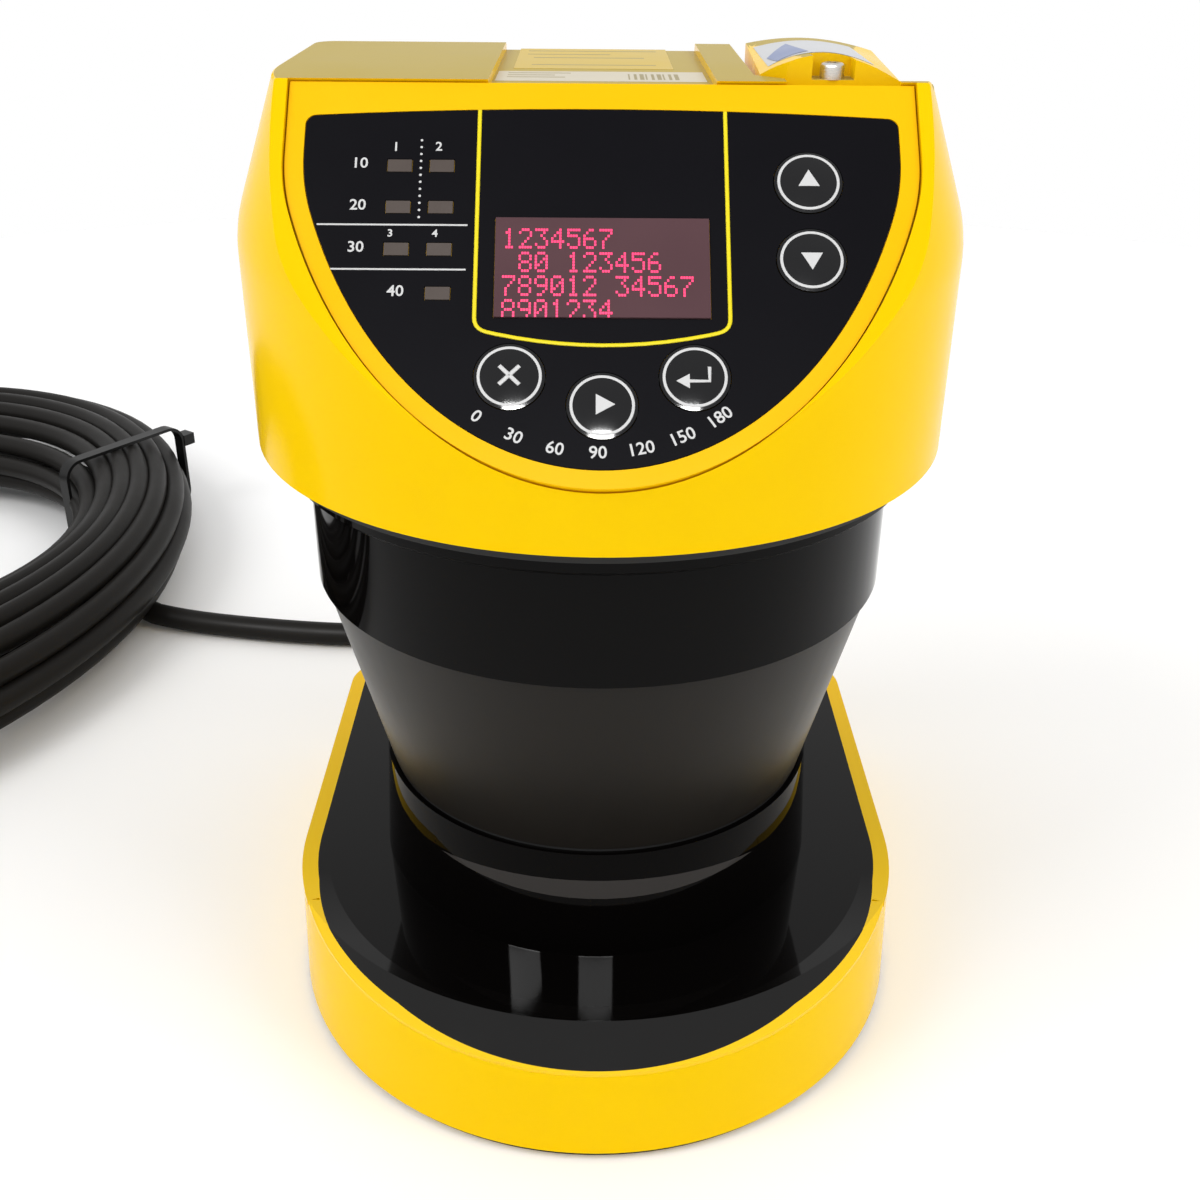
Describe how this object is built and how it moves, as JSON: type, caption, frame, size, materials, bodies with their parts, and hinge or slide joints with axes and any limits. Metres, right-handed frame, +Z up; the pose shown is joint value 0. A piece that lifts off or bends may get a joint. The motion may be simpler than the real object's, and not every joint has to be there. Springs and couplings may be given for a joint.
{
  "type": "safety laser scanner",
  "caption": "Laser scanner for guarding machines: yellow head with a sloping key and display panel over a dark conical scan window on a round-nosed base, with its coiled cable.",
  "frame": {"origin": "on the base plane, on the axis the scanning mirror turns about, in the middle of the object without its cable", "axes": "+Z up, the panel and the round nose face -Y, +X to the right seen from the front"},
  "size_m": [0.4992, 0.4212, 0.209],
  "materials": {
    "yellow_paint": "satin",
    "gloss_black": "gloss",
    "window_dark": "satin",
    "film_black": "satin",
    "bezel_yellow": "satin",
    "display_glass": "gloss",
    "display_body": "matte",
    "lens_grey": "gloss",
    "led_white": "gloss",
    "key_black": "satin",
    "switch_black": "matte",
    "board_green": "satin",
    "screw_steel": "bright",
    "brass_post": "bright",
    "chips": "matte",
    "black_rubber": "matte",
    "cast_aluminium": "satin",
    "bearing_steel": "bright",
    "mirror_face": "polished",
    "lens_glass": "polished",
    "plate_black": "matte",
    "yellow_plastic": "gloss",
    "gland_black": "satin",
    "cable_black": "satin",
    "tie_black": "satin"
  },
  "bodies": {
    "unit": {"body_casting": "yellow_paint", "base_cover": "gloss_black", "bottom_plate": "plate_black", "bottom_screws": "screw_steel", "rear_cover": "plate_black", "rear_cover_screws": "screw_steel", "scan_window": "window_dark", "window_carrier": "gloss_black", "lower_seal": "black_rubber", "upper_seal": "black_rubber", "head_gasket": "black_rubber", "head_shell": "yellow_paint", "panel_bezel": "bezel_yellow", "panel_film": "film_black", "display_window": "display_glass", "display_module": "display_body", "indicator_lenses": "lens_grey", "indicator_leds": "led_white", "key_switches": "switch_black", "panel_board": "board_green", "panel_board_screws": "screw_steel", "main_board": "board_green", "main_board_standoffs": "brass_post", "main_board_screws": "screw_steel", "board_components": "chips", "optics_deck": "cast_aluminium", "scan_motor": "cast_aluminium", "motor_bearings": "bearing_steel", "encoder_sensor": "chips", "lens_barrel": "cast_aluminium", "receiver_lens": "lens_glass", "laser_module": "brass_post", "detector_board": "board_green", "connector_hood": "yellow_plastic", "hood_screw": "screw_steel", "cable_gland": "gland_black", "gland_nut": "gland_black", "cable": "cable_black", "cable_coil": "cable_black", "cable_tie": "tie_black", "cable_plug": "gland_black"},
    "scan_rotor": {"motor_shaft": "bearing_steel", "mirror_holder": "cast_aluminium", "scan_mirror": "mirror_face", "encoder_disc": "bearing_steel"},
    "key_up": {"key_up": "key_black"},
    "key_down": {"key_down": "key_black"},
    "key_enter": {"key_enter": "key_black"},
    "key_right": {"key_right": "key_black"},
    "key_escape": {"key_escape": "key_black"}
  },
  "joints": [
    {"name": "mirror_spin", "type": "hinge", "parent": "unit", "child": "scan_rotor", "pos_m": [0, 0, 0.08], "axis": [0, 0, 1], "continuous": true},
    {"name": "key_up_press", "type": "slide", "parent": "unit", "child": "key_up", "axis": [0, 0.7266, -0.687], "range_m": [0, 0.0004], "stiffness_N_per_m": 1500},
    {"name": "key_down_press", "type": "slide", "parent": "unit", "child": "key_down", "axis": [0, 0.7266, -0.687], "range_m": [0, 0.0004], "stiffness_N_per_m": 1500},
    {"name": "key_enter_press", "type": "slide", "parent": "unit", "child": "key_enter", "axis": [0, 0.7266, -0.687], "range_m": [0, 0.0004], "stiffness_N_per_m": 1500},
    {"name": "key_right_press", "type": "slide", "parent": "unit", "child": "key_right", "axis": [0, 0.7266, -0.687], "range_m": [0, 0.0004], "stiffness_N_per_m": 1500},
    {"name": "key_escape_press", "type": "slide", "parent": "unit", "child": "key_escape", "axis": [0, 0.7266, -0.687], "range_m": [0, 0.0004], "stiffness_N_per_m": 1500}
  ]
}
